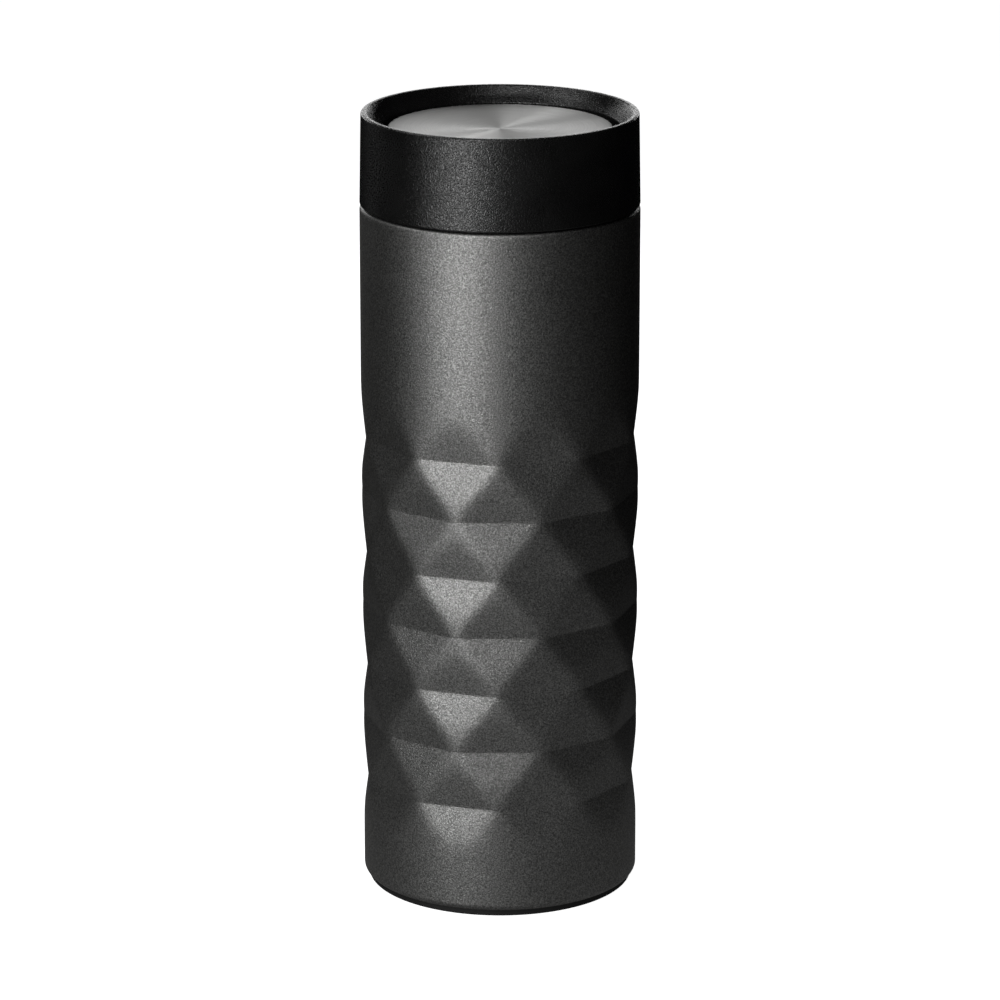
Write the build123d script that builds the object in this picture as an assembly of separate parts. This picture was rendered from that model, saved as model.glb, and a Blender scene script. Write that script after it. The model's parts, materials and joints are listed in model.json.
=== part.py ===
from build123d import *
import math
import os

os.makedirs("parts", exist_ok=True)

# Insulated tumbler with a screw lid and a push-to-open drinking valve.
# Millimetres. +Z is up along the tumbler's axis, z = 0 is the underside of the base pad,
# and -Y is the front.

# body
BODY_R = 35.0            # outer radius of the steel shell
SHELL_T = 0.5            # shell sheet thickness
SHELL_BOTTOM = 1.6
SHELL_TOP = 176.5
TOP_HOLE_R = 31.7
BOTTOM_HOLE_R = 31.8
DISC_T = 0.6             # base disc sheet thickness
DISC_HIGH_Z = 3.5        # underside of the disc's raised middle

# folded facet pattern
FACETS = 10              # facets around the body
RINGS = 7                # rings of horizontal creases
RING_LOW_Z = 28.56       # lowest ring
RING_STEP = 14.955       # height between rings
FOLD_R = 34.95           # radius of the crease vertices, just inside the body's round
END_SLOPE = 0.15         # how the facets run out into the round ends
FOLD_SHIFT = 0.54        # the inside of the sheet, measured at the vertices

# liner
LINER_R = 30.1
LINER_T = 0.4
LINER_BOTTOM = 7.2
NECK_R = 31.7
NECK_LOW_Z = 162.0

# lid
LID_BOTTOM = 176.9
LID_TOP = 199.9
LID_LOW_R = 35.0
LID_TOP_R = 34.55
LIP_T = 1.4
THROAT_R = 30.0
THROAT_LOW_Z = 181.0
SKIRT_IN_R = 33.4
PLUG_R = 29.8
PLUG_IN_R = 27.0
PLUG_LOW_Z = 161.0
SEAT_R = 25.4
HUB_R = 9.0
HUB_FLOOR_Z = 163.0
HUB_FLOOR_TOP = 167.0
HUB_LEDGE_Z = 175.3
HUB_TOP_Z = 184.6
HUB_CAP_R = 7.6
SPOKES = 4

# screw thread between plug and neck: two starts, right hand
THREAD_LEAD = 8.0
THREAD_RISE = 7.2
THREAD_LOW_Z = 166.4
THREAD_BASE = 2.0
THREAD_CREST = 1.0
MALE_CREST_R = 30.85
FEMALE_CREST_R = 30.3

# push button and valve
PLATE_R = 28.0
PLATE_MID_Z = 195.45     # lowest point of the dished plate
PLATE_RIM_Z = 195.95
PLATE_T = 0.6
STEM_R = 2.0
PLUNGER_R = 5.6
PLUNGER_NECK_R = 4.8
PIN_R = 0.6
PIN_Z = 177.0
PRESS = 4.5              # full stroke of the button
LATCH = 3.5              # stroke at which it stays open
TRACK_STEP = 22.5        # turn of the click ring for each half stroke
TRACK_FLOOR_R = 4.7
TRACK_R = 0.78

SEAM_Z = SHELL_BOTTOM + SHELL_T    # where the base disc lies on the shell's inside

DISH_EDGE_R = PLATE_R - 0.45
DISH_DEPTH = PLATE_RIM_Z - PLATE_MID_Z
DISH_R = (DISH_EDGE_R ** 2 + DISH_DEPTH ** 2) / (2 * DISH_DEPTH)


def turned(points, rounds=None):
    """Body of revolution about Z from (radius, z) corners, with one corner radius each."""
    radii = [0.0] * len(points)
    for index, value in (rounds or {}).items():
        radii[index] = value
    outline = FilletPolyline(*points, radius=radii, close=True)
    return revolve(make_face(Plane.XZ * outline), Axis.Z)


def tube(inner_r, outer_r, z_low, z_high):
    """Plain ring about Z."""
    return turned([(inner_r, z_low), (outer_r, z_low), (outer_r, z_high), (inner_r, z_high)])


def rod(radius, z_low, z_high):
    """Plain cylinder about Z."""
    return Pos(0, 0, (z_low + z_high) / 2) * Cylinder(radius, z_high - z_low)


def bar(x_low, x_high, width, z_low, z_high, turn=0.0):
    """Radial bar along X, turned about Z."""
    block = Box(x_high - x_low, width, z_high - z_low)
    return Rot(0, 0, turn) * Pos((x_low + x_high) / 2, 0, (z_low + z_high) / 2) * block


def save(name, shape):
    export_step(shape, "parts/" + name + ".step")


def crease_ring(radius, z, turn):
    """One ring of crease vertices."""
    pitch = 360.0 / FACETS
    angles = [math.radians(turn + pitch * i) for i in range(FACETS)]
    return [(radius * math.cos(a), radius * math.sin(a), z) for a in angles]


def folded(vertex_r, z_low, z_high):
    """Polyhedron whose sides are folded into diamonds with horizontal valley creases."""
    half_pitch = 180.0 / FACETS
    apothem = math.cos(math.radians(half_pitch))
    rings = []
    for k in range(RINGS):
        rings.append(crease_ring(vertex_r, RING_LOW_Z + k * RING_STEP, -90 + half_pitch * k))
    high_z = RING_LOW_Z + (RINGS - 1) * RING_STEP
    low_r = vertex_r + END_SLOPE * (RING_LOW_Z - z_low) / apothem
    high_r = vertex_r + END_SLOPE * (z_high - high_z) / apothem
    low_end = crease_ring(low_r, z_low, -90)
    high_end = crease_ring(high_r, z_high, -90 + half_pitch * (RINGS - 1))
    polygons = [low_end, high_end]
    for i in range(FACETS):
        j = (i + 1) % FACETS
        polygons.append([low_end[i], low_end[j], rings[0][j], rings[0][i]])
        polygons.append([rings[-1][i], rings[-1][j], high_end[j], high_end[i]])
        for lower, upper in zip(rings, rings[1:]):
            polygons.append([lower[i], lower[j], upper[i]])
            polygons.append([upper[i], upper[j], lower[j]])
    faces = [Face(Wire.make_polygon(p)) for p in polygons]
    return Solid(Shell(faces))


def outer_shell():
    """Formed steel shell: cylinder pressed into diamond facets, curled in at both ends."""
    skin = turned(
        [(0, SHELL_BOTTOM), (BODY_R, SHELL_BOTTOM), (BODY_R, SHELL_TOP), (0, SHELL_TOP)],
        {1: 1.6, 2: 1.2},
    )
    inside_r = BODY_R - SHELL_T
    inside_low = SHELL_BOTTOM + SHELL_T
    inside_high = SHELL_TOP - SHELL_T
    hollow = turned(
        [(0, inside_low), (inside_r, inside_low), (inside_r, inside_high), (0, inside_high)],
        {1: 1.0, 2: 0.6},
    )
    outside = skin & folded(FOLD_R, -2.0, 180.0)
    inside = hollow & folded(FOLD_R - FOLD_SHIFT, -2.0, 180.0)
    shell = outside - inside
    shell = shell - rod(TOP_HOLE_R, SHELL_TOP - 2, SHELL_TOP + 2)
    return shell - rod(BOTTOM_HOLE_R, SHELL_BOTTOM - 2, SHELL_BOTTOM + 2)


def thread_ridge(wall_r, crest_r, sink, start):
    """Helical ridge on a wall, its foot sunk into the wall; start is its first angle."""
    path = Helix(THREAD_LEAD, THREAD_RISE, wall_r)
    out = 1.0 if crest_r > wall_r else -1.0
    height = abs(crest_r - wall_r)
    slope = (THREAD_BASE - THREAD_CREST) / 2 / height
    foot = THREAD_BASE / 2 + sink * slope
    tip = THREAD_CREST / 2
    corners = [(-out * sink, -foot), (out * height, -tip), (out * height, tip), (-out * sink, foot)]
    section_plane = Plane(origin=path @ 0, x_dir=(1, 0, 0), z_dir=path % 0)
    section = section_plane * make_face(Polyline(*corners, close=True))
    ridge = sweep(section, path=path, is_frenet=True)
    return Rot(0, 0, start) * Pos(0, 0, THREAD_LOW_Z) * ridge


def inner_flask():
    """Liner that holds the drink, with the neck's female thread."""
    inner = LINER_R - LINER_T
    neck_in = NECK_R - LINER_T
    flask = turned(
        [
            (0, LINER_BOTTOM),
            (LINER_R, LINER_BOTTOM),
            (LINER_R, NECK_LOW_Z - 1.6),
            (NECK_R, NECK_LOW_Z),
            (NECK_R, SHELL_TOP),
            (neck_in, SHELL_TOP),
            (neck_in, NECK_LOW_Z + 0.2),
            (inner, NECK_LOW_Z - 1.4),
            (inner, LINER_BOTTOM + LINER_T),
            (0, LINER_BOTTOM + LINER_T),
        ],
        {1: 6.0, 8: 5.5},
    )
    for start in (90, 270):
        flask = flask + thread_ridge(neck_in, FEMALE_CREST_R, 0.25, start)
    return flask


def base_disc():
    """Dished plate that closes the vacuum space, with the evacuation hole."""
    return turned(
        [
            (1.0, DISC_HIGH_Z),
            (23.5, DISC_HIGH_Z),
            (25.5, SEAM_Z),
            (32.6, SEAM_Z),
            (32.6, SEAM_Z + DISC_T),
            (25.8, SEAM_Z + DISC_T),
            (23.8, DISC_HIGH_Z + DISC_T),
            (1.0, DISC_HIGH_Z + DISC_T),
        ]
    )


def vacuum_seal_bead():
    """Glass bead fused into the evacuation hole."""
    return turned([(0, 2.6), (1.3, 2.8), (2.4, DISC_HIGH_Z), (1.0, DISC_HIGH_Z), (1.0, 4.1), (0, 4.3)])


def getter():
    """Gas-absorbing pellet on the base disc."""
    pill = turned([(0, 4.1), (4.0, 4.1), (4.0, 5.5), (0, 5.5)], {1: 0.3, 2: 0.3})
    return Pos(12, 0, 0) * pill


def getter_clip():
    """Spring strap spot-welded over the getter."""
    strap = bar(-4.9, 4.9, 3.0, 5.5, 5.8)
    for side in (-1, 1):
        strap = strap + Pos(side * 4.75, 0, 4.8) * Box(0.3, 3.0, 1.4)
        strap = strap + Pos(side * 5.8, 0, 4.25) * Box(2.4, 3.0, 0.3)
    return Pos(12, 0, 0) * strap


def base_pad():
    """Rubber foot bonded under the base disc, with a shallow recess in its underside."""
    return turned(
        [
            (0, 0.6),
            (20.0, 0.6),
            (21.0, 0),
            (33.7, 0),
            (33.7, SHELL_BOTTOM),
            (BOTTOM_HOLE_R, SHELL_BOTTOM),
            (BOTTOM_HOLE_R, SEAM_Z),
            (25.5, SEAM_Z),
            (23.5, DISC_HIGH_Z),
            (3.2, DISC_HIGH_Z),
            (3.2, SEAM_Z),
            (0, SEAM_Z),
        ],
        {3: 0.5},
    )


def drink_ring():
    """Lid skirt, drinking lip, sloped bowl and throat in one moulding."""
    lip_in = LID_TOP_R - LIP_T
    return turned(
        [
            (LID_LOW_R, LID_BOTTOM),
            (LID_TOP_R, LID_TOP),
            (lip_in, LID_TOP),
            (lip_in - 1.35, LID_TOP - 2.2),
            (THROAT_R, LID_TOP - 4.0),
            (THROAT_R, THROAT_LOW_Z),
            (THROAT_R + 1.4, THROAT_LOW_Z),
            (THROAT_R + 1.4, 194.4),
            (SKIRT_IN_R, 195.4),
            (SKIRT_IN_R, LID_BOTTOM),
        ],
        {0: 0.3, 1: 0.65, 2: 0.65, 3: 6.0, 4: 0.5, 7: 0.4, 8: 0.4},
    )


def plug_wall():
    """Plug ring without its thread: gasket groove, valve seat and the flange under the lid ring."""
    throat_out = THROAT_R + 1.4
    return turned(
        [
            (SEAT_R, PLUG_LOW_Z),
            (29.2, PLUG_LOW_Z),
            (29.2, 161.8),
            (28.4, 161.8),
            (28.4, 164.2),
            (PLUG_R, 164.2),
            (PLUG_R, SHELL_TOP + 0.05),
            (SKIRT_IN_R, SHELL_TOP + 0.05),
            (SKIRT_IN_R, 178.5),
            (throat_out, 178.5),
            (throat_out, THROAT_LOW_Z),
            (THROAT_R, THROAT_LOW_Z),
            (PLUG_IN_R, 173.5),
            (PLUG_IN_R, 163.2),
            (SEAT_R, 162.2),
        ]
    )


def plug_body():
    """Plug ring with the two male thread ridges."""
    plug = plug_wall()
    for start in (0, 180):
        plug = plug + thread_ridge(PLUG_R, MALE_CREST_R, 0.3, start)
    return plug


def hub_spider():
    """Valve hub on spokes, welded inside the plug ring; the drink flows between the spokes."""
    hub = turned(
        [
            (STEM_R + 0.06, HUB_FLOOR_Z),
            (HUB_R, HUB_FLOOR_Z),
            (HUB_R, HUB_TOP_Z),
            (HUB_CAP_R, HUB_TOP_Z),
            (HUB_CAP_R, HUB_LEDGE_Z),
            (6.0, HUB_LEDGE_Z),
            (6.0, HUB_FLOOR_TOP),
            (STEM_R + 0.06, HUB_FLOOR_TOP),
        ],
        {1: 1.0},
    )
    hub = hub - tube(STEM_R - 0.5, 3.4, 164.2, 165.5)
    for side in (0, 180):
        hub = hub - bar(5.0, 7.4, 2.6, HUB_FLOOR_TOP, HUB_LEDGE_Z + 0.5, side)
    wall = plug_wall()
    for i in range(SPOKES):
        spoke = bar(HUB_R - 0.5, 29.3, 2.0, 170.0, 178.0, 45 + 90 * i)
        hub = hub + (spoke - wall)
    return hub


def plug_gasket():
    """Silicone double-lip ring in the plug's groove, seated on the liner's cone."""
    return turned(
        [
            (28.45, 161.85),
            (29.25, 161.85),
            (30.05, 161.12),
            (30.15, 161.4),
            (30.15, 162.4),
            (29.7, 162.8),
            (29.7, 163.3),
            (30.1, 163.6),
            (30.0, 164.15),
            (28.45, 164.15),
        ]
    )


def hub_cap():
    """Cap pressed into the hub; it guides the plunger and keeps the click ring in."""
    guide = PLUNGER_NECK_R + 0.06
    bore = PLUNGER_R + 0.06
    return turned(
        [
            (bore, 178.7),
            (HUB_CAP_R, 178.7),
            (HUB_CAP_R, HUB_TOP_Z),
            (HUB_R, HUB_TOP_Z),
            (HUB_R, 185.8),
            (guide, 185.8),
            (guide, 185.1),
            (6.1, 185.1),
            (6.1, 183.8),
            (guide, 183.8),
            (guide, 183.0),
            (bore, 183.0),
        ],
        {4: 0.4},
    )


def o_ring(mid_r, wire_r, z):
    """Round seal ring."""
    return Pos(0, 0, z) * Torus(mid_r, wire_r)


def return_spring():
    """Compression spring between the hub floor and the plunger."""
    wire_r = 0.35
    low = HUB_FLOOR_TOP + wire_r + 0.02
    length = 185.0 - HUB_FLOOR_TOP - 2 * wire_r - 0.04
    path = Helix(length / 8, length, 3.35)
    section = Plane(origin=path @ 0, z_dir=path % 0) * Circle(wire_r)
    return Pos(0, 0, low) * sweep(section, path=path, is_frenet=True)


def click_ring():
    """Ring that turns step by step; its four pins follow the plunger's track."""
    ring = tube(PLUNGER_R + 0.12, HUB_CAP_R - 0.06, HUB_LEDGE_Z + 0.1, 178.6)
    for i in range(4):
        pin = Pos(5.6, 0, PIN_Z) * Rot(0, 90, 0) * Cylinder(PIN_R, 1.4)
        ring = ring + Rot(0, 0, 90 * i) * pin
    return ring


def track_cutter(angle, z, next_angle, next_z):
    """Cutters for a straight run of the pin track and for the round corner it starts from."""
    mid_r = 5.3
    across = math.radians(next_angle - angle) * mid_r
    up = next_z - z
    run = Box(1.8, 2 * TRACK_R - 0.06, math.hypot(across, up))
    tilt = -math.degrees(math.atan2(across, up))
    middle = Pos(TRACK_FLOOR_R + 0.9, 0, (z + next_z) / 2) * Rot(tilt, 0, 0) * run
    end = Pos(TRACK_FLOOR_R + 0.9, 0, z) * Rot(0, 90, 0) * Cylinder(TRACK_R, 1.8)
    return [Rot(0, 0, (angle + next_angle) / 2) * middle, Rot(0, 0, angle) * end]


def plunger():
    """Sleeve round the stem: two guide fins and the zig-zag latch track."""
    body = turned(
        [
            (4.0, 172.0),
            (PLUNGER_R, 172.0),
            (PLUNGER_R, 182.6),
            (PLUNGER_NECK_R, 182.6),
            (PLUNGER_NECK_R, 191.8),
            (STEM_R, 191.8),
            (STEM_R, 185.0),
            (4.0, 185.0),
        ]
    )
    for side in (0, 180):
        body = body + bar(5.0, 7.2, 2.4, 172.0, 174.8, side)
    heights = [PIN_Z, PIN_Z + PRESS, PIN_Z + LATCH, PIN_Z + PRESS]
    for i in range(16):
        z = heights[i % 4]
        next_z = heights[(i + 1) % 4]
        for cutter in track_cutter(TRACK_STEP * i, z, TRACK_STEP * (i + 1), next_z):
            body = body - cutter
    return body


def dish_z(r, drop):
    """Height at radius r of the dished surface, lowered by drop."""
    sphere_r = DISH_R + drop
    return PLATE_MID_Z - drop + sphere_r - math.sqrt(sphere_r ** 2 - r ** 2)


def dish_arc(r_from, r_to, drop):
    """Arc of the dished surface."""
    middle = (r_from + r_to) / 2
    return ThreePointArc(
        (r_from, dish_z(r_from, drop)),
        (middle, dish_z(middle, drop)),
        (r_to, dish_z(r_to, drop)),
    )


def button_plate():
    """Pressed steel push plate: shallow dish with a rounded edge and a short skirt."""
    inner_r = PLATE_R - PLATE_T
    rim_low = PLATE_RIM_Z - 2.3
    outline = Curve() + dish_arc(0, DISH_EDGE_R, 0)
    outline = outline + ThreePointArc(
        (DISH_EDGE_R, PLATE_RIM_Z), (PLATE_R - 0.132, PLATE_RIM_Z - 0.132), (PLATE_R, PLATE_RIM_Z - 0.45)
    )
    outline = outline + Polyline(
        (PLATE_R, PLATE_RIM_Z - 0.45),
        (PLATE_R, rim_low),
        (inner_r, rim_low),
        (inner_r, dish_z(inner_r, PLATE_T)),
    )
    outline = outline + dish_arc(inner_r, 0, PLATE_T)
    outline = outline + Line((0, dish_z(0, PLATE_T)), (0, dish_z(0, 0)))
    return revolve(make_face(Plane.XZ * outline), Axis.Z)


def button_carrier():
    """Moulded backing of the push plate, with a socket for the plunger and a nut recess."""
    outer_r = PLATE_R - PLATE_T
    outline = Curve() + Polyline(
        (5.0, dish_z(5.0, PLATE_T)),
        (5.0, 192.9),
        (STEM_R, 192.9),
        (STEM_R, 191.8),
        (PLUNGER_NECK_R, 191.8),
        (PLUNGER_NECK_R, 190.6),
        (8.0, 190.6),
        (8.0, 193.6),
        (outer_r, 193.6),
        (outer_r, dish_z(outer_r, PLATE_T)),
    )
    outline = outline + dish_arc(outer_r, 5.0, PLATE_T)
    carrier = revolve(make_face(Plane.XZ * outline), Axis.Z)
    for i in range(6):
        carrier = carrier + bar(7.5, 25.0, 1.2, 192.2, 194.0, 60 * i)
    return carrier


def stem_nut():
    """Thin hexagon nut that clamps the carrier on the stem."""
    hexagon = extrude(RegularPolygon(3.5, 6, major_radius=False), 1.6)
    return Pos(0, 0, 192.9) * hexagon - rod(STEM_R, 190, 196)


def valve_stem():
    """Steel rod that joins the push plate to the valve."""
    return turned(
        [
            (0, 152.5),
            (1.7, 152.5),
            (STEM_R, 152.8),
            (STEM_R, 160.4),
            (1.5, 160.4),
            (1.5, 161.0),
            (STEM_R, 161.0),
            (STEM_R, 194.3),
            (1.7, 194.6),
            (0, 194.6),
        ]
    )


def stem_clip():
    """Open retaining ring in the stem's groove, over the valve plate."""
    return tube(1.5, 3.6, 160.4, 161.0) - bar(0, 4.0, 2.2, 160.0, 161.4)


def valve_plate():
    """Disc that closes the plug, with a ledge for its seal and stiffening ribs."""
    plate = turned(
        [
            (STEM_R, 157.8),
            (5.0, 157.8),
            (6.0, 158.2),
            (27.0, 158.2),
            (27.0, 159.2),
            (24.4, 159.2),
            (24.4, 160.4),
            (23.2, 160.4),
            (23.2, 159.2),
            (6.0, 159.2),
            (5.0, 160.4),
            (STEM_R, 160.4),
        ]
    )
    for i in range(6):
        plate = plate + bar(5.2, 23.6, 1.0, 158.8, 160.1, 30 + 60 * i)
    return plate


def valve_seal():
    """Silicone ring that meets the plug's seat from below."""
    return turned(
        [
            (24.4, 159.2),
            (26.9, 159.2),
            (27.4, 160.1),
            (27.2, 160.98),
            (25.0, 160.98),
            (24.4, 160.4),
        ],
        {2: 0.2, 3: 0.2, 4: 0.2},
    )


def valve_knob():
    """Scalloped knob under the valve; unscrewing it frees the valve for cleaning."""
    knob = turned(
        [(0, 151.0), (10.0, 151.0), (10.0, 156.4), (8.5, 157.8), (STEM_R, 157.8), (STEM_R, 152.5), (0, 152.5)],
        {1: 0.8},
    )
    for i in range(8):
        knob = knob - Rot(0, 0, 45 * i) * Pos(12.2, 0, 154) * Cylinder(3.0, 10)
    return knob


save("outer_shell", outer_shell())
save("inner_flask", inner_flask())
save("base_disc", base_disc())
save("vacuum_seal_bead", vacuum_seal_bead())
save("getter", getter())
save("getter_clip", getter_clip())
save("base_pad", base_pad())
save("plug_gasket", plug_gasket())
save("drink_ring", drink_ring())
save("plug_body", plug_body())
save("hub_spider", hub_spider())
save("hub_cap", hub_cap())
save("stem_seal", o_ring(2.71, 0.62, 164.85))
save("plunger_seal", o_ring(5.48, 0.58, 184.45))
save("return_spring", return_spring())
save("click_ring", click_ring())
save("button_plate", button_plate())
save("button_carrier", button_carrier())
save("stem_nut", stem_nut())
save("plunger", plunger())
save("valve_stem", valve_stem())
save("stem_clip", stem_clip())
save("valve_plate", valve_plate())
save("valve_seal", valve_seal())
save("valve_knob", valve_knob())
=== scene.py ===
import json
import math

import bpy
import numpy as np
from mathutils import Matrix, Vector


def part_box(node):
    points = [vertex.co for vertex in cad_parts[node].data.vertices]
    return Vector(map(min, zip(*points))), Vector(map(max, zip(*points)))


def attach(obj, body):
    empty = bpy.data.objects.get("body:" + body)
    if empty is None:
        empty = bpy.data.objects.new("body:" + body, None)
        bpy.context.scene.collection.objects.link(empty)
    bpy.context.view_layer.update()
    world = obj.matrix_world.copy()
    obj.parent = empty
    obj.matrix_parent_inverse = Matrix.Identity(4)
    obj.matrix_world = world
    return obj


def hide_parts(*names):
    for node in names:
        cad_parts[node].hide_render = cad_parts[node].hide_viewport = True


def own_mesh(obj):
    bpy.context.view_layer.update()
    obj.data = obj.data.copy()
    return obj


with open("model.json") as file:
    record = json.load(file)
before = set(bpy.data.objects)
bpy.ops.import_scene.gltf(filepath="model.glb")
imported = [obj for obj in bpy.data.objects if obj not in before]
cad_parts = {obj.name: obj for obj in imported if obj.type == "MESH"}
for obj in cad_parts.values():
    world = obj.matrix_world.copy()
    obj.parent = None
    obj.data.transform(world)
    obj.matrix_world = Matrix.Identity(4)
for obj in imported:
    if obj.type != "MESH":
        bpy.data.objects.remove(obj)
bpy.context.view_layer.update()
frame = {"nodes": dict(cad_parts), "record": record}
MM = 0.001

scene = bpy.context.scene
scene.view_settings.view_transform = "Standard"
scene.view_settings.look = "None"

# ---------------------------------------------------------------- sizes from the frame

shell_low, shell_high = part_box("outer_shell")
ring_low, ring_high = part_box("drink_ring")
plate_low, plate_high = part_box("button_plate")
pad_low, pad_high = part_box("base_pad")
spring_low, spring_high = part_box("return_spring")

BODY_R = (shell_high.x - shell_low.x) / 2
TOP_Z = ring_high.z
PLATE_R = (plate_high.x - plate_low.x) / 2
PINHOLE_R = 0.02 * MM      # turned pieces keep a hole this small on the axis


# ---------------------------------------------------------------- mesh helpers

def rounded(corners, steps):
    """Closed (r, z) outline in metres from corners (r, z, corner radius), with arcs stepped out."""
    out = []
    count = len(corners)
    for i, (r, z, radius) in enumerate(corners):
        here = Vector((r, z))
        if radius <= 0:
            out.append(here)
            continue
        before = (Vector(corners[i - 1][:2]) - here).normalized()
        after = (Vector(corners[(i + 1) % count][:2]) - here).normalized()
        half = before.angle(after) / 2
        reach = radius / math.tan(half)
        centre = here + (before + after).normalized() * (radius / math.sin(half))
        first = here + before * reach - centre
        last = here + after * reach - centre
        turn = first.angle_signed(last)
        for k in range(steps + 1):
            out.append(centre + Matrix.Rotation(-turn * k / steps, 2) @ first)
    return [(p.x, p.y) for p in out]


def mesh_object(name, points, faces, body, crease):
    """Mesh object riding on a body, smooth but for edges sharper than crease."""
    mesh = bpy.data.meshes.new(name)
    mesh.from_pydata(points, [], faces)
    mesh.validate()
    mesh.shade_smooth()
    mesh.set_sharp_from_angle(angle=crease)
    obj = bpy.data.objects.new(name, mesh)
    scene.collection.objects.link(obj)
    weighted = obj.modifiers.new("even_normals", "WEIGHTED_NORMAL")
    weighted.keep_sharp = True
    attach(obj, body)
    return obj


def grid_object(name, rows, body, crease=math.radians(28)):
    """Closed skin through rows of points; each row runs round the axis, and the last row meets the first."""
    count = len(rows[0])
    points = [tuple(p) for row in rows for p in row]
    faces = []
    for i in range(len(rows)):
        a = i * count
        b = ((i + 1) % len(rows)) * count
        for j in range(count):
            k = (j + 1) % count
            faces.append((a + j, a + k, b + k, b + j))
    return mesh_object(name, points, faces, body, crease)


def lathe(name, outline, body, count):
    """Closed outline of (r, z) turned about the axis; a counter-clockwise outline gives outward faces."""
    angles = [2 * math.pi * j / count for j in range(count)]
    rows = [[(r * math.cos(a), r * math.sin(a), z) for a in angles] for r, z in outline]
    return grid_object(name, rows, body)


# ---------------------------------------------------------------- material helpers

def new_material(name):
    mat = bpy.data.materials.new(name)
    mat.use_nodes = True
    tree = mat.node_tree
    return mat, tree, tree.nodes["Principled BSDF"]


def coords(tree, scale=(1, 1, 1)):
    """Coordinates in the row frame, stretched by scale."""
    source = tree.nodes.new("ShaderNodeTexCoord")
    mapping = tree.nodes.new("ShaderNodeMapping")
    mapping.inputs["Scale"].default_value = scale
    tree.links.new(source.outputs["Object"], mapping.inputs["Vector"])
    return mapping.outputs["Vector"]


def polar(tree):
    """Radius and angle about the axis, in metres and radians."""
    source = tree.nodes.new("ShaderNodeTexCoord")
    split = tree.nodes.new("ShaderNodeSeparateXYZ")
    tree.links.new(source.outputs["Object"], split.inputs[0])
    flat = tree.nodes.new("ShaderNodeCombineXYZ")
    tree.links.new(split.outputs["X"], flat.inputs["X"])
    tree.links.new(split.outputs["Y"], flat.inputs["Y"])
    length = tree.nodes.new("ShaderNodeVectorMath")
    length.operation = "LENGTH"
    tree.links.new(flat.outputs[0], length.inputs[0])
    angle = tree.nodes.new("ShaderNodeMath")
    angle.operation = "ARCTAN2"
    tree.links.new(split.outputs["Y"], angle.inputs[0])
    tree.links.new(split.outputs["X"], angle.inputs[1])
    return length.outputs["Value"], angle.outputs["Value"]


def combine(tree, *values):
    """Vector from three sockets or numbers."""
    node = tree.nodes.new("ShaderNodeCombineXYZ")
    for i, value in enumerate(values):
        if isinstance(value, (int, float)):
            node.inputs[i].default_value = value
        else:
            tree.links.new(value, node.inputs[i])
    return node.outputs[0]


def math_node(tree, operation, a, b):
    """One step of arithmetic on two sockets or numbers."""
    node = tree.nodes.new("ShaderNodeMath")
    node.operation = operation
    for i, value in enumerate((a, b)):
        if isinstance(value, (int, float)):
            node.inputs[i].default_value = value
        else:
            tree.links.new(value, node.inputs[i])
    return node.outputs[0]


def noise(tree, vector, scale, detail, rough):
    """Fractal noise with a mean of about a half."""
    node = tree.nodes.new("ShaderNodeTexNoise")
    node.inputs["Scale"].default_value = scale
    node.inputs["Detail"].default_value = detail
    node.inputs["Roughness"].default_value = rough
    tree.links.new(vector, node.inputs["Vector"])
    return node.outputs["Fac"]


def ramp(tree, value, stops):
    """Colour ramp; stops are (position, colour or grey)."""
    node = tree.nodes.new("ShaderNodeValToRGB")
    points = node.color_ramp.elements
    while len(points) < len(stops):
        points.new(0.5)
    for point, (position, colour) in zip(points, stops):
        if isinstance(colour, (int, float)):
            colour = (colour, colour, colour)
        point.position = position
        point.color = (*colour, 1)
    tree.links.new(value, node.inputs["Fac"])
    return node.outputs["Color"]


def spread(tree, value, low, high):
    """Noise, which mostly lies between a quarter and three quarters, mapped onto low to high."""
    node = tree.nodes.new("ShaderNodeMapRange")
    node.inputs["From Min"].default_value = 0.25
    node.inputs["From Max"].default_value = 0.75
    node.inputs["To Min"].default_value = low
    node.inputs["To Max"].default_value = high
    tree.links.new(value, node.inputs["Value"])
    return node.outputs["Result"]


def bump(tree, bsdf, height, strength, distance):
    """Fine relief on the shader's normal; distance is the relief's depth in metres."""
    node = tree.nodes.new("ShaderNodeBump")
    node.inputs["Strength"].default_value = strength
    node.inputs["Distance"].default_value = distance
    tree.links.new(height, node.inputs["Height"])
    tree.links.new(node.outputs["Normal"], bsdf.inputs["Normal"])


# ---------------------------------------------------------------- materials

def coat_material():
    """Charcoal metallic paint with a fine flake."""
    mat, tree, bsdf = new_material("charcoal_metallic_coat")
    at = coords(tree)
    flake = noise(tree, at, 2600, 1.0, 0.6)
    grain = noise(tree, at, 2400, 2.0, 0.6)
    cloud = noise(tree, at, 55, 3.0, 0.5)
    dark, middle, light = (0.14, 0.14, 0.137), (0.25, 0.25, 0.245), (0.42, 0.42, 0.41)
    tint = ramp(tree, flake, [(0.30, dark), (0.50, middle), (0.70, light)])
    tree.links.new(tint, bsdf.inputs["Base Color"])
    rough = math_node(tree, "ADD", spread(tree, grain, 0.42, 0.50), spread(tree, cloud, -0.01, 0.01))
    tree.links.new(rough, bsdf.inputs["Roughness"])
    bsdf.inputs["Metallic"].default_value = 1.0
    bump(tree, bsdf, grain, 0.8, 0.0001)
    return mat


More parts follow.
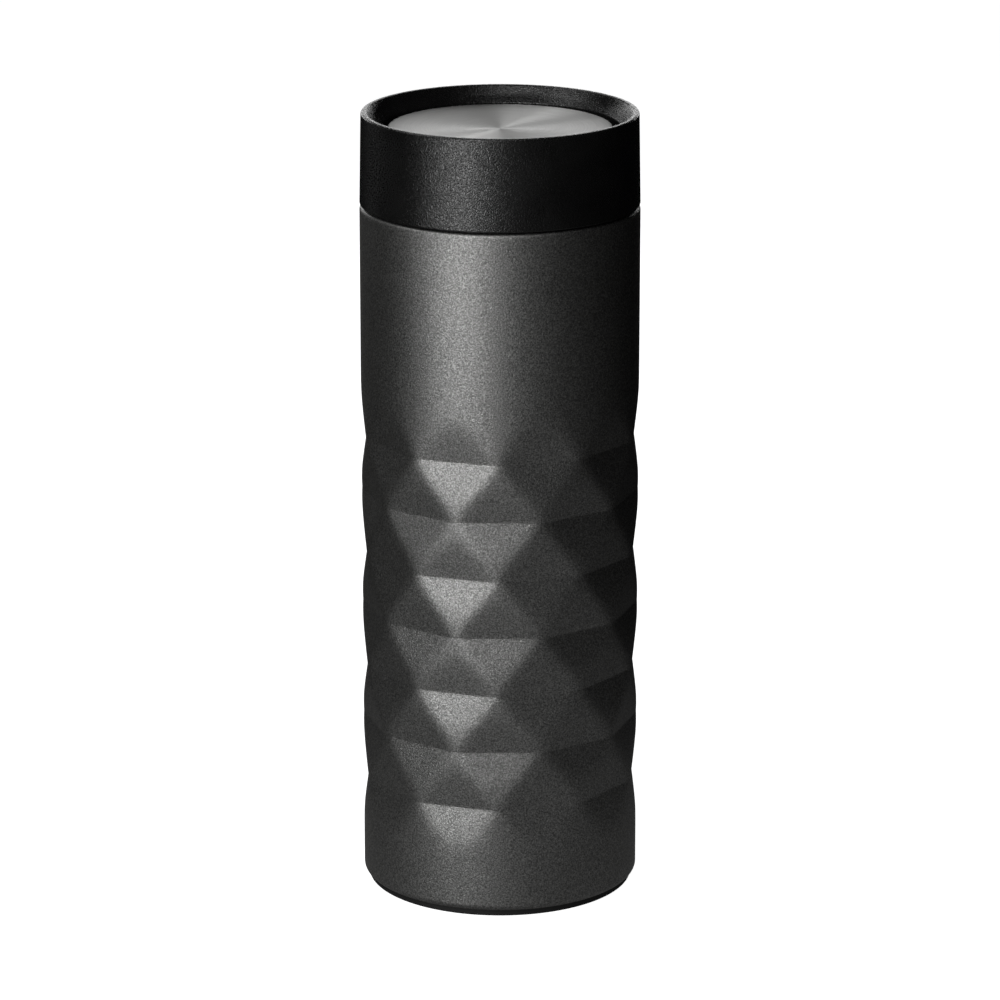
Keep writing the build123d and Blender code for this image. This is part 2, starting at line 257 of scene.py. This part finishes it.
def moulded_material(name, grey, rough, grain_scale, depth, strength, vary=0.06, detail=3.0):
    """Moulded plastic with a spark-eroded grain."""
    mat, tree, bsdf = new_material(name)
    at = coords(tree)
    grain = noise(tree, at, grain_scale, detail, 0.65)
    cloud = noise(tree, at, 90, 3.0, 0.55)
    low = tuple(0.75 * g for g in grey)
    high = tuple(1.3 * g for g in grey)
    tree.links.new(ramp(tree, cloud, [(0.3, low), (0.7, high)]), bsdf.inputs["Base Color"])
    tree.links.new(spread(tree, grain, rough - vary, rough + vary), bsdf.inputs["Roughness"])
    bump(tree, bsdf, grain, strength, depth)
    return mat


def brushed_plate_material():
    """Stainless steel with fine circular brushing."""
    mat, tree, bsdf = new_material("circular_brushed_steel")
    radius, angle = polar(tree)
    fine = noise(tree, combine(tree, math_node(tree, "MULTIPLY", radius, 9000.0), 0.0, 0.0), 1.0, 3.0, 0.8)
    arc = math_node(tree, "MULTIPLY", angle, 1.6)
    streak_at = combine(tree, math_node(tree, "MULTIPLY", radius, 2600.0), arc, 0.0)
    streak = noise(tree, streak_at, 1.0, 4.0, 0.7)
    wide = noise(tree, combine(tree, math_node(tree, "MULTIPLY", radius, 240.0), arc, 3.0), 1.0, 3.0, 0.6)
    tint = ramp(tree, streak, [(0.3, (0.50, 0.50, 0.49)), (0.7, (0.66, 0.66, 0.65))])
    tree.links.new(tint, bsdf.inputs["Base Color"])
    tree.links.new(
        math_node(tree, "ADD", spread(tree, streak, 0.27, 0.35), spread(tree, wide, -0.02, 0.02)),
        bsdf.inputs["Roughness"],
    )
    bsdf.inputs["Metallic"].default_value = 1.0
    bsdf.inputs["Anisotropic"].default_value = 0.96
    bsdf.inputs["Anisotropic Rotation"].default_value = 0.25      # lines round the axis
    tangent = tree.nodes.new("ShaderNodeTangent")
    tangent.direction_type = "RADIAL"
    tangent.axis = "Z"
    tree.links.new(tangent.outputs[0], bsdf.inputs["Tangent"])
    bump(tree, bsdf, fine, 0.12, 0.00002)
    return mat


def steel_material(name, tint, rough, lines):
    """Bare stainless steel with lines round the axis."""
    mat, tree, bsdf = new_material(name)
    streak = noise(tree, coords(tree, (18, 18, lines)), 1.0, 4.0, 0.7)
    mottle = noise(tree, coords(tree), 160, 3.0, 0.6)
    low = tuple(0.85 * t for t in tint)
    tree.links.new(ramp(tree, mottle, [(0.3, low), (0.7, tint)]), bsdf.inputs["Base Color"])
    tree.links.new(spread(tree, streak, rough - 0.06, rough + 0.08), bsdf.inputs["Roughness"])
    bsdf.inputs["Metallic"].default_value = 1.0
    bump(tree, bsdf, streak, 0.15, 0.00003)
    return mat


def silicone_material():
    """Soft grey silicone with a faint bloom."""
    mat, tree, bsdf = new_material("grey_silicone")
    at = coords(tree)
    bloom = noise(tree, at, 320, 4.0, 0.6)
    grain = noise(tree, at, 2200, 2.0, 0.5)
    tree.links.new(
        ramp(tree, bloom, [(0.3, (0.30, 0.30, 0.295)), (0.7, (0.40, 0.40, 0.39))]), bsdf.inputs["Base Color"]
    )
    tree.links.new(spread(tree, grain, 0.5, 0.64), bsdf.inputs["Roughness"])
    bsdf.inputs["Sheen Weight"].default_value = 0.15
    bump(tree, bsdf, grain, 0.2, 0.00003)
    return mat


def glass_material():
    """Greenish fused glass with small bubbles."""
    mat, tree, bsdf = new_material("fused_glass")
    at = coords(tree)
    bubbles = noise(tree, at, 1800, 3.0, 0.6)
    tree.links.new(
        ramp(tree, bubbles, [(0.35, (0.30, 0.46, 0.37)), (0.7, (0.5, 0.66, 0.56))]), bsdf.inputs["Base Color"]
    )
    tree.links.new(spread(tree, bubbles, 0.05, 0.16), bsdf.inputs["Roughness"])
    bsdf.inputs["Transmission Weight"].default_value = 0.6
    bump(tree, bsdf, bubbles, 0.1, 0.00004)
    return mat


MATERIALS = {
    "shell_coat": coat_material(),
    "lid_plastic": moulded_material(
        "textured_black_plastic", (0.007, 0.007, 0.007), 0.26, 3100, 0.0001, 0.8, vary=0.08, detail=0.0
    ),
    "plug_plastic": moulded_material("moulded_black_plastic", (0.02, 0.02, 0.02), 0.42, 1500, 0.00004, 0.3),
    "acetal": moulded_material("natural_acetal", (0.62, 0.61, 0.57), 0.38, 1200, 0.00003, 0.25),
    "pad_rubber": moulded_material("black_foot_rubber", (0.009, 0.009, 0.009), 0.66, 1700, 0.00008, 0.4),
    "brushed_plate": brushed_plate_material(),
    "plain_steel": steel_material("polished_liner_steel", (0.66, 0.66, 0.65), 0.24, 5200),
    "spring_steel": steel_material("drawn_steel", (0.60, 0.60, 0.60), 0.28, 3000),
    "silicone": silicone_material(),
    "seal_glass": glass_material(),
    "getter_alloy": moulded_material("sintered_getter", (0.24, 0.23, 0.22), 0.62, 1800, 0.0001, 0.7),
}


def dress(obj, slot_name):
    """Gives a piece the material of a record slot."""
    obj.data.materials.clear()
    obj.data.materials.append(MATERIALS[slot_name])


# ---------------------------------------------------------------- faceted shell

FACETS = 10
RINGS = 7
STEP = 14.955 * MM
RING_LOW = 28.56 * MM
CREASE_R = 33.52 * MM      # nearest the axis, in the middle of a crease
SLOPE = 0.1506             # how fast a facet stands out from its crease
RIDGE_SOFT = 0.22 * MM     # softness of the ridges between facets
VALLEY_SOFT = 0.12 * MM    # softness of the creases
WALL = 0.5 * MM
BOTTOM_HOLE_R = 31.8 * MM  # rolled edge under the foot
TOP_HOLE_R = 31.7 * MM     # rolled edge at the neck
CREASE_ROWS = (0.12 * MM, 0.3 * MM)      # extra rows of points this far from a crease, on both sides
PLAIN_ROWS = 2 * MM        # least distance between rows where the tube is plain


def soft_min(values, soft):
    """Smooth lower envelope."""
    stack = np.stack(values)
    low = stack.min(axis=0)
    return low - soft * np.log(np.exp(-(stack - low) / soft).sum(axis=0))


def shell_r(angles, z):
    """Radius of the pressed shell all round at height z."""
    pitch = 2 * math.pi / FACETS
    values = [np.full_like(angles, BODY_R)]
    for k in range(RINGS):
        out = CREASE_R + SLOPE * math.sqrt((z - RING_LOW - k * STEP) ** 2 + VALLEY_SOFT ** 2)
        middle = -math.pi / 2 + pitch / 2 * (k + 1)
        off = np.abs((angles - middle + pitch / 2) % pitch - pitch / 2)
        values.append(out / np.cos(off))
        values.append(out / np.cos(pitch - off))
    return soft_min(values, RIDGE_SOFT)


def shell_levels(z_low, z_high, parts, close):
    """Heights between two ends: parts rows to a ring step, and if close, extra rows beside each crease."""
    levels = {z_low, z_high}
    first = RING_LOW - 2 * STEP
    for i in range((RINGS + 3) * parts + 1):
        levels.add(first + i * STEP / parts)
    if close:
        for k in range(RINGS):
            for near in CREASE_ROWS:
                levels.add(RING_LOW + k * STEP - near)
                levels.add(RING_LOW + k * STEP + near)
    kept = sorted(z for z in levels if z_low <= z <= z_high)
    low_smooth = RING_LOW - 1.3 * STEP
    high_smooth = RING_LOW + (RINGS + 0.3) * STEP
    out = []
    for z in kept:
        plain = z < low_smooth or z > high_smooth
        if plain and out and z - out[-1] < PLAIN_ROWS and z != z_high:
            continue
        out.append(z)
    return out


def shell_object():
    """Closed sheet: outside with soft ridges and crisp creases, curled rims, and the inside."""
    count = 400
    angles = np.arange(count) * 2 * math.pi / count - math.pi / 2
    z_low, z_high = shell_low.z, shell_high.z
    bottom_round, top_round = 1.6 * MM, 1.2 * MM
    gap = 0.3 * MM         # between a rounded end and the first row of the wall
    rows = []

    def add(radii, z):
        radii = radii * np.ones(count)
        rows.append(list(zip(radii * np.cos(angles), radii * np.sin(angles), np.full(count, z))))

    add(BOTTOM_HOLE_R, z_low + WALL)
    add(BOTTOM_HOLE_R, z_low)
    steps = 8
    for i in range(steps + 1):
        a = math.pi / 2 * i / steps
        add(BODY_R - bottom_round * (1 - math.sin(a)), z_low + bottom_round * (1 - math.cos(a)))
    for z in shell_levels(z_low + bottom_round + gap, z_high - top_round - gap, parts=20, close=True):
        add(shell_r(angles, z), z)
    for i in range(steps + 1):
        a = math.pi / 2 * i / steps
        add(BODY_R - top_round * (1 - math.cos(a)), z_high - top_round * (1 - math.sin(a)))
    add(TOP_HOLE_R, z_high)
    add(TOP_HOLE_R, z_high - WALL)
    add(BODY_R - top_round - WALL, z_high - WALL)
    inner = shell_levels(z_low + bottom_round, z_high - top_round, parts=3, close=False)
    for z in reversed(inner):
        add(shell_r(angles, z) - WALL, z)
    add(BODY_R - bottom_round - WALL, z_low + WALL)
    return grid_object("faceted_shell", rows, "vessel", math.radians(40))


shell = shell_object()
dress(shell, "shell_coat")
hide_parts("outer_shell")


# ---------------------------------------------------------------- lid ring, push plate, foot

def lid_ring_object():
    """Lid skirt, thin drinking lip, bowl and throat, turned finely."""
    low_r = (ring_high.x - ring_low.x) / 2
    z_low, z_high = ring_low.z, ring_high.z
    top_r = low_r - 0.45 * MM        # the skirt narrows towards the lip
    middle_r = low_r - 0.22 * MM
    lip_in = top_r - 1.4 * MM        # inner edge of the lip
    lip_round = 0.65 * MM
    bowl_r = lip_in - 1.35 * MM      # half-way down the bowl
    bowl_z = z_high - 2.2 * MM
    throat = 30.0 * MM               # round the push plate
    throat_top = z_high - 4.0 * MM
    throat_foot = z_low + 4.1 * MM
    throat_out = throat + 1.4 * MM   # outside of the throat's wall
    skirt_in = 33.4 * MM
    corners = [
        (low_r, z_low, 0.3 * MM),
        (middle_r, (z_low + z_high) / 2, 0),
        (top_r, z_high, lip_round),
        (lip_in, z_high, lip_round),
        (bowl_r, bowl_z, 6.0 * MM),
        (throat, throat_top, 0.5 * MM),
        (throat, throat_foot, 0),
        (throat_out, throat_foot, 0),
        (throat_out, z_high - 5.5 * MM, 0.4 * MM),
        (skirt_in, z_high - 4.5 * MM, 0.4 * MM),
        (skirt_in, z_low, 0),
    ]
    return lathe("lid_ring", rounded(corners, 8), "lid", 320)


lid_ring = lid_ring_object()
dress(lid_ring, "lid_plastic")
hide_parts("drink_ring")


def plate_object():
    """Dished push plate with a rounded edge and short skirt."""
    z_low, z_high = plate_low.z, plate_high.z
    sheet_t = 0.6 * MM
    edge = 0.45 * MM
    depth = 0.5 * MM
    flat_r = PLATE_R - edge
    under_r = flat_r - 0.15 * MM
    sphere = (flat_r ** 2 + depth ** 2) / (2 * depth)
    edge_steps, top_steps, under_steps = 9, 39, 11

    def dish(r, drop):
        """Height of the dished sheet at radius r, drop below its top face."""
        return z_high - depth - drop + (sphere + drop) - math.sqrt((sphere + drop) ** 2 - r ** 2)

    outline = []
    for i in range(edge_steps + 1):
        a = math.pi / 2 * i / edge_steps
        outline.append((flat_r + edge * math.cos(a), z_high - edge * (1 - math.sin(a))))
    for i in range(1, top_steps + 1):
        r = flat_r * (1 - i / top_steps) + PINHOLE_R
        outline.append((r, dish(r, 0)))
    for i in range(under_steps + 1):
        r = PINHOLE_R + under_r * i / under_steps
        outline.append((r, dish(r, sheet_t)))
    outline.append((PLATE_R - sheet_t, z_low))
    outline.append((PLATE_R, z_low))
    return lathe("push_plate", outline, "valve", 320)


plate = plate_object()
dress(plate, "brushed_plate")
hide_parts("button_plate")


def foot_object():
    """Rubber foot: a rounded ring to stand on, round a shallow recess, with a raised ring on top."""
    z_low, z_high = pad_low.z, pad_high.z
    pad_r = (pad_high.x - pad_low.x) / 2
    recess_z = z_low + 0.6 * MM
    recess_r, stand_r = 20 * MM, 21 * MM
    step_z = z_high - 1.4 * MM       # lower level of the top, on both sides of the raised ring
    raised_in, raised_out, raised_foot = 3.2 * MM, 23.5 * MM, 25.5 * MM
    corners = [
        (PINHOLE_R, recess_z, 0),
        (recess_r, recess_z, 0.4 * MM),
        (stand_r, z_low, 0.4 * MM),
        (pad_r, z_low, 0.5 * MM),
        (pad_r, shell_low.z, 0),
        (BOTTOM_HOLE_R, shell_low.z, 0),
        (BOTTOM_HOLE_R, step_z, 0),
        (raised_foot, step_z, 0.3 * MM),
        (raised_out, z_high, 0.3 * MM),
        (raised_in, z_high, 0),
        (raised_in, step_z, 0),
        (PINHOLE_R, step_z, 0),
    ]
    return lathe("foot", rounded(corners, 6), "vessel", 256)


foot = foot_object()
dress(foot, "pad_rubber")
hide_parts("base_pad")


# ---------------------------------------------------------------- return spring

def spring_object():
    """Coil with closed ends."""
    wire = 0.35 * MM
    mid_r = (spring_high.x - spring_low.x) / 2 - wire
    low, high = spring_low.z + wire, spring_high.z - wire
    turns, sides, steps = 8, 10, 384
    end_pull = 0.045       # how far the coils close up towards the ends
    rows = []
    for i in range(steps + 1):
        t = i / steps
        a = 2 * math.pi * turns * t
        closed_up = t - end_pull * math.sin(2 * math.pi * t)
        z = low + (high - low) * closed_up
        out = Vector((math.cos(a), math.sin(a), 0))
        rows.append([tuple(out * (mid_r + wire * math.cos(b)) + Vector((0, 0, z + wire * math.sin(b))))
                     for b in (2 * math.pi * j / sides for j in range(sides))])
    points = [p for row in rows for p in row]
    faces = []
    for i in range(steps):
        for j in range(sides):
            k = (j + 1) % sides
            faces.append((i * sides + j, i * sides + k, (i + 1) * sides + k, (i + 1) * sides + j))
    faces.append(tuple(reversed(range(sides))))
    faces.append(tuple(steps * sides + j for j in range(sides)))
    return mesh_object("coil_spring", points, faces, "lid", math.radians(50))


spring = spring_object()
dress(spring, "spring_steel")
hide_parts("return_spring")
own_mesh(spring)


# ---------------------------------------------------------------- CAD nodes that stay

replaced = {"outer_shell", "drink_ring", "button_plate", "base_pad", "return_spring"}
for entry in frame["record"]["subparts"]:
    if entry["node"] in replaced:
        continue
    node = frame["nodes"][entry["node"]]
    node.data.materials.clear()
    node.data.materials.append(MATERIALS[entry["material_slot"]])


# ---------------------------------------------------------------- stage

FLOOR_SEEN = 1.0       # how bright the floor is to the eye
FLOOR_GLOW = 0.146     # how bright the floor is as a light, in front of the tumbler
FAR_GLOW = 0.003       # how bright the floor is as a light, farther out
WORLD_GLOW = 0.002     # how bright the background is as a light
GLOW_CENTRE = (0.01, -0.2, 0)          # the floor's glow is strongest here, in metres
GLOW_NEAR, GLOW_FAR = 0.05, 0.45       # and fades between these distances from there
FLOOR_Z = -0.0001      # just under the tumbler, so that the two don't touch


def eye_mix(tree, lit, seen):
    """One shader for the rays that light the tumbler, another for the camera's own rays."""
    path = tree.nodes.new("ShaderNodeLightPath")
    mix = tree.nodes.new("ShaderNodeMixShader")
    tree.links.new(path.outputs["Is Camera Ray"], mix.inputs["Fac"])
    tree.links.new(lit, mix.inputs[1])
    tree.links.new(seen, mix.inputs[2])
    return mix.outputs[0]


def floor_object():
    """Wide pale floor, bright to the eye, with a soft glow of its own as a light."""
    half = 3.0
    points = [(-half, -half, 0), (half, -half, 0), (half, half, 0), (-half, half, 0)]
    mesh = bpy.data.meshes.new("floor")
    mesh.from_pydata(points, [], [(0, 1, 2, 3)])
    obj = bpy.data.objects.new("floor", mesh)
    obj.location.z = FLOOR_Z
    scene.collection.objects.link(obj)
    mat, tree, bsdf = new_material("pale_floor")
    faint = noise(tree, coords(tree), 6, 2.0, 0.5)
    tree.links.new(ramp(tree, faint, [(0.3, 0.80), (0.7, 0.83)]), bsdf.inputs["Base Color"])
    bsdf.inputs["Roughness"].default_value = 0.9
    bsdf.inputs["Emission Color"].default_value = (1, 1, 1, 1)
    bsdf.inputs["Emission Strength"].default_value = FLOOR_SEEN
    glow = tree.nodes.new("ShaderNodeEmission")
    away = tree.nodes.new("ShaderNodeVectorMath")
    away.operation = "DISTANCE"
    away.inputs[1].default_value = GLOW_CENTRE
    tree.links.new(coords(tree), away.inputs[0])
    fade = tree.nodes.new("ShaderNodeMapRange")
    fade.interpolation_type = "SMOOTHSTEP"
    fade.inputs["From Min"].default_value = GLOW_NEAR
    fade.inputs["From Max"].default_value = GLOW_FAR
    fade.inputs["To Min"].default_value = FLOOR_GLOW
    fade.inputs["To Max"].default_value = FAR_GLOW
    tree.links.new(away.outputs["Value"], fade.inputs["Value"])
    tree.links.new(fade.outputs["Result"], glow.inputs["Strength"])
    out = tree.nodes["Material Output"]
    tree.links.new(eye_mix(tree, glow.outputs[0], bsdf.outputs[0]), out.inputs["Surface"])
    obj.data.materials.append(mat)


def world_light():
    """White to the eye, dim as a light."""
    world = bpy.data.worlds.new("studio")
    scene.world = world
    world.use_nodes = True
    tree = world.node_tree
    tree.nodes.clear()
    out = tree.nodes.new("ShaderNodeOutputWorld")
    shades = []
    for strength in (WORLD_GLOW, 1.0):
        shade = tree.nodes.new("ShaderNodeBackground")
        shade.inputs["Color"].default_value = (1, 1, 1, 1)
        shade.inputs["Strength"].default_value = strength
        shades.append(shade.outputs[0])
    tree.links.new(eye_mix(tree, *shades), out.inputs["Surface"])


floor_object()
world_light()


def softbox(name, azimuth, elevation, distance, width, height, power, aim):
    """Area light; azimuth 0 is in front, positive to the right, and it faces the tumbler's axis."""
    target = Vector((0, 0, TOP_Z * aim))
    a, e = math.radians(azimuth), math.radians(elevation)
    away = Vector((math.sin(a) * math.cos(e), -math.cos(a) * math.cos(e), math.sin(e)))
    light = bpy.data.lights.new(name, "AREA")
    light.shape = "RECTANGLE"
    light.size = width
    light.size_y = height
    light.energy = power
    obj = bpy.data.objects.new(name, light)
    obj.location = target + away * distance
    obj.rotation_euler = away.to_track_quat("Z", "Y").to_euler()
    scene.collection.objects.link(obj)


# name, azimuth, elevation, distance, width, height, power in watts, height aimed at over the tumbler's height
SOFTBOXES = [
    ("key", -30, 1, 0.6, 0.24, 0.10, 0.78, 0.5),
    ("key_left", -50, 1, 0.6, 0.14, 0.10, 0.18, 0.5),
    ("key_right", -10, 3, 0.6, 0.16, 0.12, 0.15, 0.5),
    ("fill_right", 15, 0, 0.6, 0.20, 0.09, 0.02, 0.5),
    ("high_front", -25, 35, 0.6, 0.34, 0.16, 1.2, 0.8),
    ("overhead", -10, 62, 0.7, 0.30, 0.20, 0.42, 0.9),
    ("high_left", -85, 50, 0.6, 0.20, 0.20, 0.45, 0.97),
    ("high_back_left", -152, 50, 0.6, 0.20, 0.20, 0.24, 0.97),
    ("back_panel", 180, 24, 0.7, 0.30, 0.28, 0.181, 0.6),
    ("back_high", 180, 38, 0.7, 0.30, 0.20, 0.065, 0.97),
    ("back_low", 180, 3, 0.9, 0.80, 0.16, 1.1, 0.97),
    ("back_left", -150, 12, 0.6, 0.12, 0.20, 0.13, 0.97),
    ("edge_left", -125, 8, 0.6, 0.10, 0.25, 0.02, 0.5),
]
for row in SOFTBOXES:
    softbox(*row)


# ---------------------------------------------------------------- camera

def add_camera():
    """At the viewing angle: a little above, from the front, through a long lens."""
    reach, rise = 1.16, 0.43707      # metres from the axis and above the floor
    turn, tilt = 0.779, 16.222       # degrees to the right of the front, and down
    sensor_mm, lens_mm = 36, 171.68
    a = math.radians(turn)
    data = bpy.data.cameras.new("camera")
    data.sensor_width = sensor_mm
    data.lens = lens_mm
    obj = bpy.data.objects.new("camera", data)
    obj.location = (reach * math.sin(a), -reach * math.cos(a), rise)
    obj.rotation_euler = (math.radians(90 - tilt), 0, a)
    scene.collection.objects.link(obj)
    scene.camera = obj


add_camera()
